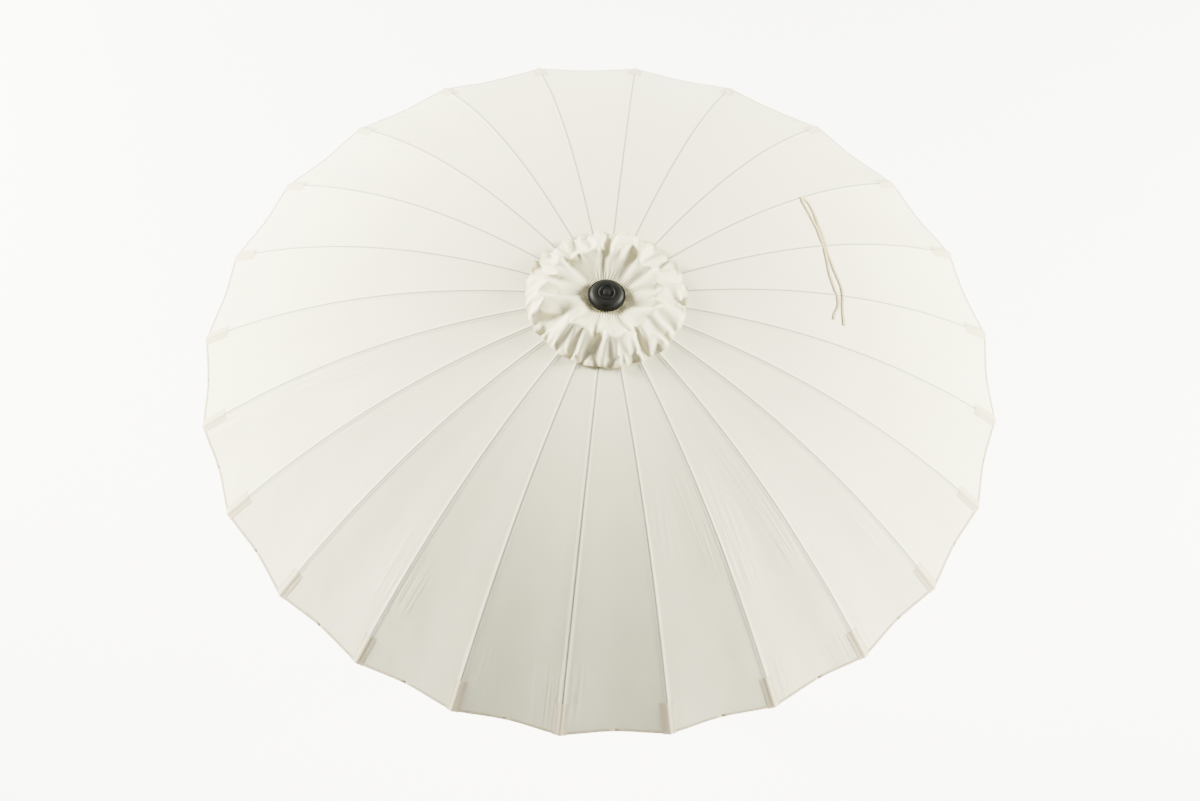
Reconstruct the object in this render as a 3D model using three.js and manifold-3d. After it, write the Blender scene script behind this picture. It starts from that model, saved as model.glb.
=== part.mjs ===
// Round garden parasol with 24 ribs, held by its pole in a base that is not part of it.
// Millimetres, +Z up, origin at the middle of the pole's foot. Shown open.
// Each rib turns in a notched crown hub, and a strut under each rib runs to a runner on the pole.
import * as THREE from 'three';
import { mergeVertices } from 'three/addons/utils/BufferGeometryUtils.js';
import Module from 'manifold-3d';

// ---- Driving dimensions ----

const RIB_COUNT = 24;
const CLEARANCE = 0.3;            // between pieces that touch
const RUNNING_CLEARANCE = 0.5;    // between pieces that slide or turn

// Canopy: its surface is a curve turned about the pole and pulled straight between ribs.
const TIP_RADIUS = 1350;          // pole axis to rib tip
const RIM_HEIGHT = 1930;          // foot to rib tips
const CANOPY_RISE = 494.6;        // rib tips to the top of the surface
const CURVE_POWER = 2.33;         // how the surface falls away from the pole
const FABRIC_THICKNESS = 1;
const VENT_RADIUS = 120;          // opening in the canopy's top
const HEM_SCALLOP = 0.995;        // hem between two ribs, over the straight line between their tips
const CANOPY_STATIONS = 8;        // rings along the canopy

// Vent cap: a small second canopy over the vent.
const CAP_RADIUS = 275;
const CAP_LIFT = 12;              // above the canopy's surface
const CAP_HOLE_RADIUS = 8;

// Ribs and struts.
const RIB_WIDTH = 6;
const RIB_HEIGHT = 9;
const RIB_FABRIC_GAP = 0.7;
const RIB_EYE_RADIUS = 6;
const HUB_PIVOT_RADIUS = 45;      // pole axis to the rib pivots
const HUB_RING_WIRE = 1.5;        // radius of the wire that the ribs turn on
const STRUT_JOINT_RADIUS = 620;   // pole axis to the rib and strut joints
const STRUT_ANGLE = 25;           // degrees below level, open
const STRUT_WIDTH = 5;
const STRUT_HEIGHT = 8;
const STRUT_LUG_RADIUS = 5.5;
const STRUT_LUG_DROP = 5.5;       // joint below the rib's lower face
const STRUT_PIN_RADIUS = 2;
const FORK_WALL = 2.3;
const FORK_LENGTH = 26;

// Crown hub, finial and runner.
const HUB_RIM = 11;               // outside the rib pivots
const HUB_SLOT_DEPTH = 7.5;       // inside the rib pivots
const HUB_SLEEVE_WALL = 6.7;
const HUB_SLEEVE_LENGTH = 40;
const HUB_DISC_DROP = 9;          // disc below the rib pivots
const HUB_FLANGE = 3;
const HUB_BOSS_RADIUS = 14;
const FINIAL_RADIUS = 62;
const FINIAL_HEIGHT = 27;
const FINIAL_STUD_RADIUS = 4;
const FINIAL_STUD_LENGTH = 24;
const RUNNER_PIVOT_RADIUS = 50;   // pole axis to the lower strut pivots
const RUNNER_RIM = 10;            // outside the strut pivots
const RUNNER_SLOT_DEPTH = 8;      // inside the strut pivots
const RUNNER_SLEEVE_WALL = 7.5;
const RUNNER_DISC_HEIGHT = 18;
const RUNNER_SLEEVE_LENGTH = 95;

// Pole and foot.
const POLE_RADIUS = 19;
const POLE_WALL = 1.5;
const POLE_SPLIT_HEIGHT = 760;    // where the two lengths of pole meet
const SPIGOT_LENGTH = 90;
const PLUG_HEAD = 6;
const PLUG_LENGTH = 30;

// Crank.
const CRANK_HEIGHT = 900;         // foot to the crank's axis
const HOUSING_WALL = 8.7;         // beside and behind the pole
const HOUSING_WEB = 9.9;          // between the pole and the spindle's bearing
const HOUSING_HEIGHT = 110;
const HOUSING_CORNER = 12;
const SPOOL_CORE_RADIUS = 14;
const SPOOL_FLANGE_RADIUS = 21;
const SPOOL_FLANGE = 3;
const SPOOL_LENGTH = 38;
const SPINDLE_RADIUS = 6;
const SPINDLE_BEARING_DEPTH = 6;
const SPINDLE_STUB_LENGTH = 18;
const CRANK_ARM_LENGTH = 82;
const CRANK_ARM_WIDTH = 16;
const CRANK_ARM_THICKNESS = 7;
const CRANK_HUB_RADIUS = 12;
const CRANK_GRIP_RADIUS = 9;
const CRANK_GRIP_LENGTH = 42;

// Tie tapes: two thin tapes sewn over the fourth rib, lying over the canopy.
const TAPE_RADIUS = 2;
const TAPE_STEPS = 30;
// Each point is an angle round the pole, in degrees, and a radius.
const TAPE_ROUTES = [
  [[45, 875], [43.8, 884], [42, 880], [39.4, 869], [36, 850], [33, 836], [30.5, 825], [28, 817],
    [24, 812], [21, 812], [18, 814], [15, 809], [12.4, 802], [9.4, 799], [6.6, 799]],
  [[45, 875], [43.3, 864], [41, 855], [38.2, 846], [35.3, 836], [32.2, 822], [29, 811], [26, 801],
    [22.4, 790], [18.6, 786], [15.6, 788], [13.2, 789], [11.2, 782], [9.8, 771], [7.6, 763]],
];

// ---- Worked-out sizes ----

const RIB_STEP = 2 * Math.PI / RIB_COUNT;
const canopyHeight = (radius) =>
  RIM_HEIGHT + CANOPY_RISE * (1 - (radius / TIP_RADIUS) ** CURVE_POWER);
const canopySlope = (radius) =>
  -CANOPY_RISE * CURVE_POWER / TIP_RADIUS * (radius / TIP_RADIUS) ** (CURVE_POWER - 1);

// A point above (+) or below (-) the canopy's surface, in a rib's plane: x is the radius, y the height.
function besideCanopy(radius, offset) {
  const normal = new THREE.Vector2(-canopySlope(radius), 1).normalize();
  return new THREE.Vector2(radius, canopyHeight(radius)).addScaledVector(normal, offset);
}

const RIB_MIDDLE = -(RIB_FABRIC_GAP + RIB_HEIGHT / 2);
const hubPivot = besideCanopy(HUB_PIVOT_RADIUS, RIB_MIDDLE);
const strutJoint = besideCanopy(STRUT_JOINT_RADIUS, -(RIB_FABRIC_GAP + RIB_HEIGHT + STRUT_LUG_DROP));
const strutSlope = THREE.MathUtils.degToRad(STRUT_ANGLE);
const strutLength = (strutJoint.x - RUNNER_PIVOT_RADIUS) / Math.cos(strutSlope);
const runnerPivot = new THREE.Vector2(
  RUNNER_PIVOT_RADIUS, strutJoint.y - strutLength * Math.sin(strutSlope));
const socket = POLE_RADIUS + CLEARANCE;
const runnerBore = POLE_RADIUS + RUNNING_CLEARANCE;
const hubRadius = HUB_PIVOT_RADIUS + HUB_RIM;
const runnerRadius = RUNNER_PIVOT_RADIUS + RUNNER_RIM;
const discTop = hubPivot.y + RIB_EYE_RADIUS + RUNNING_CLEARANCE;
const hubTop = discTop + HUB_FLANGE;
const poleTop = hubPivot.y - CLEARANCE;
const capBottom = canopyHeight(0) + CAP_LIFT;
const finialBottom = capBottom + FABRIC_THICKNESS + CLEARANCE;

// ---- Ways of making solids ----

const wasm = await Module();
wasm.setup();

function toSolid(geometry) {
  const bare = geometry.clone();
  bare.deleteAttribute('normal');
  bare.deleteAttribute('uv');
  const merged = mergeVertices(bare, 1e-4);
  const vertProperties = new Float32Array(merged.attributes.position.array);
  const triVerts = new Uint32Array(merged.index.array);
  return new wasm.Manifold(new wasm.Mesh({ numProp: 3, vertProperties, triVerts }));
}

function toGeometry(solid) {
  const data = solid.getMesh();
  const geometry = new THREE.BufferGeometry();
  geometry.setAttribute('position', new THREE.BufferAttribute(data.vertProperties, 3));
  geometry.setIndex(new THREE.BufferAttribute(data.triVerts, 1));
  return geometry;
}

// Turns a closed outline about the pole axis. The outline runs anticlockwise, x the radius, y the height.
function turned(outline, segments, start = 0) {
  const points = outline.map(([x, y]) => new THREE.Vector2(x, y));
  if (outline[0][0] > 0) points.push(points[0].clone());
  const geometry = new THREE.LatheGeometry(points, segments, start);
  geometry.rotateX(Math.PI / 2);
  return geometry;
}

// A plate in a rib's plane (x the radius, y the height), as thick as width, centred on the plane.
function plate(shape, width) {
  const geometry = new THREE.ExtrudeGeometry(shape, { depth: width, bevelEnabled: false, curveSegments: 4 });
  geometry.translate(0, 0, -width / 2);
  geometry.rotateX(Math.PI / 2);
  return geometry;
}

// A round pin across a rib's plane.
function crossPin(centre, radius, width, sides = 6) {
  const geometry = new THREE.CylinderGeometry(radius, radius, width, sides);
  geometry.translate(centre.x, 0, centre.y);
  return geometry;
}

function block(x0, x1, y0, y1, z0, z1) {
  const geometry = new THREE.BoxGeometry(x1 - x0, y1 - y0, z1 - z0);
  geometry.translate((x0 + x1) / 2, (y0 + y1) / 2, (z0 + z1) / 2);
  return geometry;
}

function aroundPole(geometry, index) {
  return geometry.clone().rotateZ(index * RIB_STEP);
}

function boxOutline(width, height, x, y) {
  return new THREE.Shape([
    new THREE.Vector2(x, y - height / 2), new THREE.Vector2(x + width, y - height / 2),
    new THREE.Vector2(x + width, y + height / 2), new THREE.Vector2(x, y + height / 2)]);
}

// ---- Materials ----

const finish = (color, roughness, metalness) =>
  new THREE.MeshStandardMaterial({ color, roughness, metalness });
const creamFabric = finish(0xece9dc, 0.9, 0);
const creamTape = finish(0xe0dbc6, 0.85, 0);
const blackPlastic = finish(0x252724, 0.6, 0);
const greyGlassfibre = finish(0xa9a8a0, 0.45, 0);
const whiteMetal = finish(0xe9e7df, 0.4, 0.2);

const parasol = new THREE.Group();
function add(name, geometry, material) {
  const mesh = new THREE.Mesh(geometry, material);
  mesh.name = name;
  parasol.add(mesh);
}
const numbered = (name, index) => `${name}_${String(index + 1).padStart(2, '0')}`;

// ---- Canopy: 24 flat-sided gores from the vent to a scalloped hem ----

function stationRadius(index) {
  return THREE.MathUtils.lerp(VENT_RADIUS, TIP_RADIUS, index / CANOPY_STATIONS);
}

function canopyPoint(station, half, offset) {
  const between = half % 2 === 1;
  const scallop = between ? 1 - (1 - HEM_SCALLOP) * (station / CANOPY_STATIONS) ** 4 : 1;
  const radius = stationRadius(station) * scallop;
  const point = besideCanopy(radius, offset);
  const reach = between ? point.x * Math.cos(RIB_STEP / 2) : point.x;
  const angle = half * RIB_STEP / 2;
  return [reach * Math.cos(angle), reach * Math.sin(angle), point.y];
}

function canopyShell() {
  const positions = [];
  const index = [];
  const halves = 2 * RIB_COUNT;
  const rows = CANOPY_STATIONS + 1;
  for (const offset of [FABRIC_THICKNESS, 0]) {
    for (let station = 0; station < rows; station += 1) {
      for (let half = 0; half < halves; half += 1) positions.push(...canopyPoint(station, half, offset));
    }
  }
  const at = (layer, station, half) => (layer * rows + station) * halves + half % halves;
  const quad = (a, b, c, d) => index.push(a, b, c, a, c, d);
  for (let half = 0; half < halves; half += 1) {
    for (let station = 0; station < CANOPY_STATIONS; station += 1) {
      quad(at(0, station, half), at(0, station + 1, half),
        at(0, station + 1, half + 1), at(0, station, half + 1));
      quad(at(1, station, half), at(1, station, half + 1),
        at(1, station + 1, half + 1), at(1, station + 1, half));
    }
    quad(at(0, CANOPY_STATIONS, half), at(1, CANOPY_STATIONS, half),
      at(1, CANOPY_STATIONS, half + 1), at(0, CANOPY_STATIONS, half + 1));
    quad(at(0, 0, half), at(0, 0, half + 1), at(1, 0, half + 1), at(1, 0, half));
  }
  const geometry = new THREE.BufferGeometry();
  geometry.setAttribute('position', new THREE.Float32BufferAttribute(positions, 3));
  geometry.setIndex(index);
  return geometry;
}
add('canopy', canopyShell(), creamFabric);

// ---- Vent cap ----

function capOutline() {
  const rings = 4;
  const lower = [];
  const upper = [];
  for (let ring = 0; ring <= rings; ring += 1) {
    const radius = THREE.MathUtils.lerp(CAP_HOLE_RADIUS, CAP_RADIUS, ring / rings);
    const low = besideCanopy(radius, CAP_LIFT);
    const high = besideCanopy(radius, CAP_LIFT + FABRIC_THICKNESS);
    lower.push([low.x, low.y]);
    upper.unshift([high.x, high.y]);
  }
  return [...lower, ...upper];
}
add('vent_cap', turned(capOutline(), RIB_COUNT), creamFabric);

// ---- Ribs ----

function ribOutline() {
  const radii = [HUB_PIVOT_RADIUS];
  for (let station = 0; station <= CANOPY_STATIONS; station += 1) radii.push(stationRadius(station));
  const upper = radii.map((radius) => besideCanopy(radius, -RIB_FABRIC_GAP));
  const lower = radii.map((radius) => besideCanopy(radius, -RIB_FABRIC_GAP - RIB_HEIGHT));
  return new THREE.Shape([...lower, ...upper.reverse()]);
}

const forkWidth = RIB_WIDTH + 2 * (CLEARANCE + FORK_WALL);
const lugTop = strutJoint.y + STRUT_LUG_DROP + RIB_HEIGHT / 2;
const lugBlock = block(strutJoint.x - STRUT_LUG_RADIUS, strutJoint.x + STRUT_LUG_RADIUS,
  -RIB_WIDTH / 2, RIB_WIDTH / 2, strutJoint.y, lugTop);
const ribSolid = toSolid(plate(ribOutline(), RIB_WIDTH))
  .add(toSolid(lugBlock))
  .add(toSolid(crossPin(hubPivot, RIB_EYE_RADIUS, RIB_WIDTH)))
  .add(toSolid(crossPin(strutJoint, STRUT_LUG_RADIUS, RIB_WIDTH)))
  .add(toSolid(crossPin(strutJoint, STRUT_PIN_RADIUS, forkWidth)))
  .subtract(toSolid(crossPin(hubPivot, HUB_RING_WIRE + RUNNING_CLEARANCE, 2 * RIB_WIDTH)));
const ribGeometry = toGeometry(ribSolid);

// ---- Struts: a fork over the rib's lug, a flat bar, and an eye at the runner ----

const forkSlot = RIB_WIDTH + 2 * CLEARANCE;
const forkFloor = STRUT_LUG_RADIUS + 3;
const start = new THREE.Vector2(0, 0);
const strutEnd = new THREE.Vector2(strutLength, 0);
const barStart = forkFloor + 1;
const forkCut = boxOutline(2 * STRUT_LUG_RADIUS + forkFloor, 2.5 * STRUT_HEIGHT, -2 * STRUT_LUG_RADIUS, 0);
const strutSolid = toSolid(plate(boxOutline(FORK_LENGTH, STRUT_HEIGHT, 0, 0), forkWidth))
  .add(toSolid(crossPin(start, STRUT_LUG_RADIUS, forkWidth)))
  .subtract(toSolid(plate(forkCut, forkSlot)))
  .subtract(toSolid(crossPin(start, STRUT_PIN_RADIUS + RUNNING_CLEARANCE, 2 * forkWidth)))
  .add(toSolid(plate(boxOutline(strutLength - barStart, STRUT_HEIGHT, barStart, 0), STRUT_WIDTH)))
  .add(toSolid(crossPin(strutEnd, STRUT_LUG_RADIUS, STRUT_WIDTH)))
  .subtract(toSolid(crossPin(strutEnd, STRUT_PIN_RADIUS, 2 * STRUT_WIDTH)));
const strutGeometry = toGeometry(strutSolid);
// From along +X to inwards and down, with its fork at the rib joint.
strutGeometry.rotateY(Math.PI - strutSlope);
strutGeometry.translate(strutJoint.x, 0, strutJoint.y);

for (let index = 0; index < RIB_COUNT; index += 1) {
  add(numbered('rib', index), aroundPole(ribGeometry, index), greyGlassfibre);
  add(numbered('strut', index), aroundPole(strutGeometry, index), whiteMetal);
}

// ---- Crown hub: a slotted disc on a socket over the pole's top, with the ribs' wire ring ----

function cutSlots(solid, coreRadius, slotWidth, bottom, top) {
  const slot = block(coreRadius, hubRadius + runnerRadius, -slotWidth / 2, slotWidth / 2, bottom, top);
  const slots = [];
  for (let index = 0; index < RIB_COUNT; index += 1) slots.push(toSolid(aroundPole(slot, index)));
  return slots.reduce((rest, cutter) => rest.subtract(cutter), solid);
}

const studBore = FINIAL_STUD_RADIUS + CLEARANCE;
const hubSleeve = socket + HUB_SLEEVE_WALL;
const hubBody = toSolid(turned([
  [socket, hubPivot.y - HUB_SLEEVE_LENGTH], [hubSleeve, hubPivot.y - HUB_SLEEVE_LENGTH],
  [hubSleeve, hubPivot.y - HUB_DISC_DROP], [hubRadius, hubPivot.y - HUB_DISC_DROP],
  [hubRadius, hubTop], [HUB_BOSS_RADIUS, hubTop], [HUB_BOSS_RADIUS, capBottom - CLEARANCE],
  [studBore, capBottom - CLEARANCE], [studBore, hubPivot.y], [socket, hubPivot.y],
], 2 * RIB_COUNT));
// The wire ring is straight across each slot, so its corners stand a little further out.
const ringRadius = hubPivot.x / Math.cos(RIB_STEP / 2);
const ringWire = [];
for (let side = 0; side < 6; side += 1) {
  const angle = (side + 0.5) * Math.PI / 3;
  ringWire.push([ringRadius + HUB_RING_WIRE * Math.cos(angle), hubPivot.y + HUB_RING_WIRE * Math.sin(angle)]);
}
const slotted = cutSlots(hubBody, HUB_PIVOT_RADIUS - HUB_SLOT_DEPTH, RIB_WIDTH + 2 * CLEARANCE,
  hubPivot.y - HUB_SLEEVE_LENGTH, discTop);
const ringSolid = toSolid(turned(ringWire, RIB_COUNT, RIB_STEP / 2));
add('crown_hub', toGeometry(slotted.add(ringSolid)), blackPlastic);

// ---- Finial: stepped disc with a stud through the cap ----

const stepHeight = FINIAL_HEIGHT / 4;
add('finial', turned([
  [0, finialBottom - FINIAL_STUD_LENGTH], [FINIAL_STUD_RADIUS, finialBottom - FINIAL_STUD_LENGTH],
  [FINIAL_STUD_RADIUS, finialBottom], [FINIAL_RADIUS - 3, finialBottom],
  [FINIAL_RADIUS, finialBottom + 3], [FINIAL_RADIUS, finialBottom + stepHeight],
  [FINIAL_RADIUS * 0.93, finialBottom + 1.6 * stepHeight],
  [FINIAL_RADIUS * 0.76, finialBottom + 2.6 * stepHeight],
  [FINIAL_RADIUS * 0.56, finialBottom + 3.4 * stepHeight],
  [FINIAL_RADIUS * 0.46, finialBottom + 3.6 * stepHeight],
  [FINIAL_RADIUS * 0.16, finialBottom + 3.7 * stepHeight],
  [FINIAL_RADIUS * 0.12, finialBottom + FINIAL_HEIGHT],
  [0, finialBottom + FINIAL_HEIGHT],
], 24), blackPlastic);

// ---- Runner: the sleeve that slides on the pole and carries the struts ----

const runnerSleeve = runnerBore + RUNNER_SLEEVE_WALL;
const runnerTop = runnerPivot.y + RUNNER_DISC_HEIGHT / 2;
const runnerDiscBottom = runnerPivot.y - RUNNER_DISC_HEIGHT / 2;
const runnerBody = toSolid(turned([
  [runnerBore, runnerTop - RUNNER_SLEEVE_LENGTH], [runnerSleeve, runnerTop - RUNNER_SLEEVE_LENGTH],
  [runnerSleeve, runnerDiscBottom], [runnerRadius, runnerDiscBottom],
  [runnerRadius, runnerTop], [runnerBore, runnerTop],
], 2 * RIB_COUNT));
const runnerSlots = cutSlots(runnerBody, RUNNER_PIVOT_RADIUS - RUNNER_SLOT_DEPTH,
  STRUT_WIDTH + 2 * RUNNING_CLEARANCE, runnerDiscBottom - RUNNER_DISC_HEIGHT / 4,
  runnerTop + RUNNER_DISC_HEIGHT / 4);
add('runner', toGeometry(runnerSlots), blackPlastic);

// ---- Pole in two lengths, and the plug in its foot ----

const poleBore = POLE_RADIUS - POLE_WALL;
const spigotRadius = poleBore - CLEARANCE;
const poleStart = PLUG_HEAD + CLEARANCE;
add('lower_pole', turned([
  [poleBore, poleStart], [POLE_RADIUS, poleStart],
  [POLE_RADIUS, POLE_SPLIT_HEIGHT], [poleBore, POLE_SPLIT_HEIGHT],
], 24), whiteMetal);
const upperStart = POLE_SPLIT_HEIGHT + CLEARANCE;
add('upper_pole', turned([
  [spigotRadius - POLE_WALL, upperStart - SPIGOT_LENGTH], [spigotRadius, upperStart - SPIGOT_LENGTH],
  [spigotRadius, upperStart], [POLE_RADIUS, upperStart], [POLE_RADIUS, poleTop], [poleBore, poleTop],
  [poleBore, upperStart + 4], [spigotRadius - POLE_WALL, upperStart + 2],
], 24), whiteMetal);
add('foot_plug', turned([
  [0, 0], [POLE_RADIUS, 0], [POLE_RADIUS, PLUG_HEAD], [spigotRadius, PLUG_HEAD],
  [spigotRadius, PLUG_LENGTH], [0, PLUG_LENGTH],
], 24), blackPlastic);

// ---- Crank: a housing on the pole, the spool in it, and the handle in front ----

// A solid turned about the crank's axis, which runs along Y. The outline's x is its radius, y its place.
function aboutCrank(outline, segments) {
  const geometry = turned(outline, segments);
  geometry.rotateX(Math.PI / 2);
  geometry.translate(0, 0, CRANK_HEIGHT);
  return geometry;
}

const bearingEnd = socket + HOUSING_WEB + RUNNING_CLEARANCE;
const spoolBack = bearingEnd + SPINDLE_BEARING_DEPTH;
const spoolFront = spoolBack + SPOOL_LENGTH;
const housingFront = spoolFront + CLEARANCE;

function housingOutline() {
  const side = socket + HOUSING_WALL;
  const across = side - HOUSING_CORNER;
  const front = HOUSING_CORNER - housingFront;
  const shape = new THREE.Shape();
  shape.moveTo(-across, -housingFront);
  shape.lineTo(across, -housingFront);
  shape.absarc(across, front, HOUSING_CORNER, -Math.PI / 2, 0);
  shape.absarc(across, across, HOUSING_CORNER, 0, Math.PI / 2);
  shape.absarc(-across, across, HOUSING_CORNER, Math.PI / 2, Math.PI);
  shape.absarc(-across, front, HOUSING_CORNER, Math.PI, 1.5 * Math.PI);
  return shape;
}

const housingBlock = new THREE.ExtrudeGeometry(
  housingOutline(), { depth: HOUSING_HEIGHT, bevelEnabled: false, curveSegments: 4 });
housingBlock.translate(0, 0, CRANK_HEIGHT - HOUSING_HEIGHT / 2);
const housing = toSolid(housingBlock)
  .subtract(toSolid(turned([
    [0, CRANK_HEIGHT - HOUSING_HEIGHT], [socket, CRANK_HEIGHT - HOUSING_HEIGHT],
    [socket, CRANK_HEIGHT + HOUSING_HEIGHT], [0, CRANK_HEIGHT + HOUSING_HEIGHT],
  ], 32)))
  .subtract(toSolid(aboutCrank([
    [0, bearingEnd - RUNNING_CLEARANCE], [SPINDLE_RADIUS + RUNNING_CLEARANCE, bearingEnd - RUNNING_CLEARANCE],
    [SPINDLE_RADIUS + RUNNING_CLEARANCE, spoolBack - RUNNING_CLEARANCE],
    [SPOOL_FLANGE_RADIUS + 1, spoolBack - RUNNING_CLEARANCE],
    [SPOOL_FLANGE_RADIUS + 1, housingFront + 5], [0, housingFront + 5],
  ], 32)));
add('crank_housing', toGeometry(housing), blackPlastic);

add('cord_spool', aboutCrank([
  [0, bearingEnd], [SPINDLE_RADIUS, bearingEnd], [SPINDLE_RADIUS, spoolBack],
  [SPOOL_FLANGE_RADIUS, spoolBack], [SPOOL_FLANGE_RADIUS, spoolBack + SPOOL_FLANGE],
  [SPOOL_CORE_RADIUS, spoolBack + SPOOL_FLANGE], [SPOOL_CORE_RADIUS, spoolFront - SPOOL_FLANGE],
  [SPOOL_FLANGE_RADIUS, spoolFront - SPOOL_FLANGE], [SPOOL_FLANGE_RADIUS, spoolFront],
  [SPINDLE_RADIUS, spoolFront], [SPINDLE_RADIUS, spoolFront + SPINDLE_STUB_LENGTH],
  [0, spoolFront + SPINDLE_STUB_LENGTH],
], 24), blackPlastic);

const handleBack = housingFront + RUNNING_CLEARANCE;
const armFront = handleBack + CRANK_ARM_THICKNESS;
const armBlock = block(-CRANK_ARM_WIDTH / 2, CRANK_ARM_WIDTH / 2, -armFront, -handleBack,
  CRANK_HEIGHT - CRANK_ARM_LENGTH, CRANK_HEIGHT);
const gripOutline = [[0, handleBack], [CRANK_ARM_WIDTH / 2, handleBack], [CRANK_ARM_WIDTH / 2, armFront],
  [CRANK_GRIP_RADIUS - 2, armFront + 4], [CRANK_GRIP_RADIUS, armFront + CRANK_GRIP_LENGTH / 2],
  [CRANK_GRIP_RADIUS - 1, armFront + CRANK_GRIP_LENGTH - 4],
  [CRANK_GRIP_RADIUS - 4, armFront + CRANK_GRIP_LENGTH], [0, armFront + CRANK_GRIP_LENGTH]];
const grip = aboutCrank(gripOutline, 16);
grip.translate(0, 0, -CRANK_ARM_LENGTH);
const stubEnd = spoolFront + SPINDLE_STUB_LENGTH;
const handle = toSolid(aboutCrank([
  [0, handleBack], [CRANK_HUB_RADIUS, handleBack], [CRANK_HUB_RADIUS, stubEnd + 3], [0, stubEnd + 3],
], 24))
  .add(toSolid(armBlock))
  .add(toSolid(grip))
  .subtract(toSolid(aboutCrank([
    [0, 0], [SPINDLE_RADIUS + CLEARANCE, 0], [SPINDLE_RADIUS + CLEARANCE, stubEnd + CLEARANCE],
    [0, stubEnd + CLEARANCE],
  ], 24)));
add('crank_handle', toGeometry(handle), blackPlastic);

// ---- Tie tapes ----

// Height of the canopy's surface anywhere: it is straight between two ribs.
function onCanopy(degrees, radius, lift) {
  const angle = THREE.MathUtils.degToRad(degrees);
  const fromMiddle = angle - (Math.floor(angle / RIB_STEP) + 0.5) * RIB_STEP;
  const ribRadius = radius * Math.cos(fromMiddle) / Math.cos(RIB_STEP / 2);
  const point = besideCanopy(ribRadius, FABRIC_THICKNESS + lift);
  const out = radius + point.x - ribRadius;
  return new THREE.Vector3(out * Math.cos(angle), out * Math.sin(angle), point.y);
}

const tapeLift = TAPE_RADIUS + 3 * CLEARANCE;
const tapeSection = new THREE.Shape();
for (let side = 0; side < 8; side += 1) {
  const angle = side * Math.PI / 4;
  const point = [TAPE_RADIUS * Math.cos(angle), TAPE_RADIUS * Math.sin(angle)];
  if (side === 0) tapeSection.moveTo(...point);
  else tapeSection.lineTo(...point);
}
function tapeTube(route) {
  const points = route.map(([degrees, radius]) => onCanopy(degrees, radius, tapeLift));
  const path = new THREE.CatmullRomCurve3(points);
  return new THREE.ExtrudeGeometry(tapeSection, { steps: TAPE_STEPS, extrudePath: path });
}
const tab = new THREE.SphereGeometry(2 * TAPE_RADIUS, 12, 6);
const [tabDegrees, tabRadius] = TAPE_ROUTES[0][0];
tab.translate(...onCanopy(tabDegrees, tabRadius, 2 * TAPE_RADIUS + CLEARANCE));
const tapes = TAPE_ROUTES.reduce((rest, route) => rest.add(toSolid(tapeTube(route))), toSolid(tab));
add('tie_tape', toGeometry(tapes), creamTape);

export default parasol;
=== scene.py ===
import math

import bmesh
import bpy
from mathutils import Matrix, Vector, noise


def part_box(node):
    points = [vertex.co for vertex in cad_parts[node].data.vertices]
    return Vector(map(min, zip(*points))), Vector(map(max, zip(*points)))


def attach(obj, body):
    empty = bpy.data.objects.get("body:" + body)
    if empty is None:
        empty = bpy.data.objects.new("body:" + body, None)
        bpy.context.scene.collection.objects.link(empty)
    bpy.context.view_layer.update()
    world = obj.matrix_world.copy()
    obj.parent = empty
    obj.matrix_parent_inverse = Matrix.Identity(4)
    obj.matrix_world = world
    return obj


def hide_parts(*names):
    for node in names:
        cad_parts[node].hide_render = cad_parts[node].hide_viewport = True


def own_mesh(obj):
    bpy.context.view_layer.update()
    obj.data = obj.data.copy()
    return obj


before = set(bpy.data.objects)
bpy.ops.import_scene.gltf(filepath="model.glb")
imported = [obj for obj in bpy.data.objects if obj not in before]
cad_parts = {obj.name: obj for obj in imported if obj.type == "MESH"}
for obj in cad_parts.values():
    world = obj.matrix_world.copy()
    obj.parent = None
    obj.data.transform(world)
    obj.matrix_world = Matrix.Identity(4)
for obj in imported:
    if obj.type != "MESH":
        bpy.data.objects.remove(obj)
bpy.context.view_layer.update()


# ---- The camera and the lamps ----
# A long lens looks down on the open parasol from the front, turned a little on its own axis.
# Two large soft lamps stand behind it to the left and right, under an even pale sky.

canopy_low, canopy_high = (Vector(corner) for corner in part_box("canopy"))
rim_middle = Vector((0, 0, canopy_low.z))

camera_side = math.radians(1.7)
camera_rise = math.radians(57.26)
camera_roll = math.radians(4.5)
camera_drop = math.radians(0.371)       # the lens points a little below the rim's middle
camera_distance = 10.834
backward = Vector((math.sin(camera_side) * math.cos(camera_rise),
                   -math.cos(camera_side) * math.cos(camera_rise), math.sin(camera_rise)))
sideways = Vector((math.cos(camera_side), math.sin(camera_side), 0))
upward = backward.cross(sideways)
right = sideways * math.cos(camera_roll) + upward * math.sin(camera_roll)
up = upward * math.cos(camera_roll) - sideways * math.sin(camera_roll)
tilt = Matrix.Rotation(-camera_drop, 3, right)
turned = Matrix((tilt @ right, tilt @ up, tilt @ backward)).transposed().to_4x4()
camera = bpy.data.objects.new("camera", bpy.data.cameras.new("camera"))
camera.data.lens = 95.44
camera.data.sensor_width = 36
camera.data.clip_end = 100
camera.matrix_world = Matrix.Translation(rim_middle + backward * camera_distance) @ turned
bpy.context.scene.collection.objects.link(camera)
bpy.context.scene.camera = camera


LAMP_COLOR = (1.0, 0.98, 0.86)
LAMP_SIZE = 3.0


def softbox(name, place, power):
    """A round soft lamp that faces the middle of the canopy's rim."""
    lamp = bpy.data.lights.new(name, "AREA")
    lamp.shape = "DISK"
    lamp.size = LAMP_SIZE
    lamp.energy = power
    lamp.color = LAMP_COLOR
    lamp_object = bpy.data.objects.new(name, lamp)
    bpy.context.scene.collection.objects.link(lamp_object)
    place = Vector(place)
    aim = (rim_middle - place).to_track_quat("-Z", "Y")
    lamp_object.matrix_world = Matrix.Translation(place) @ aim.to_matrix().to_4x4()


softbox("left_softbox", (-7.6, 2.2, 4.4), 5600)
softbox("right_softbox", (7.6, 1.8, 4.4), 4900)

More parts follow.
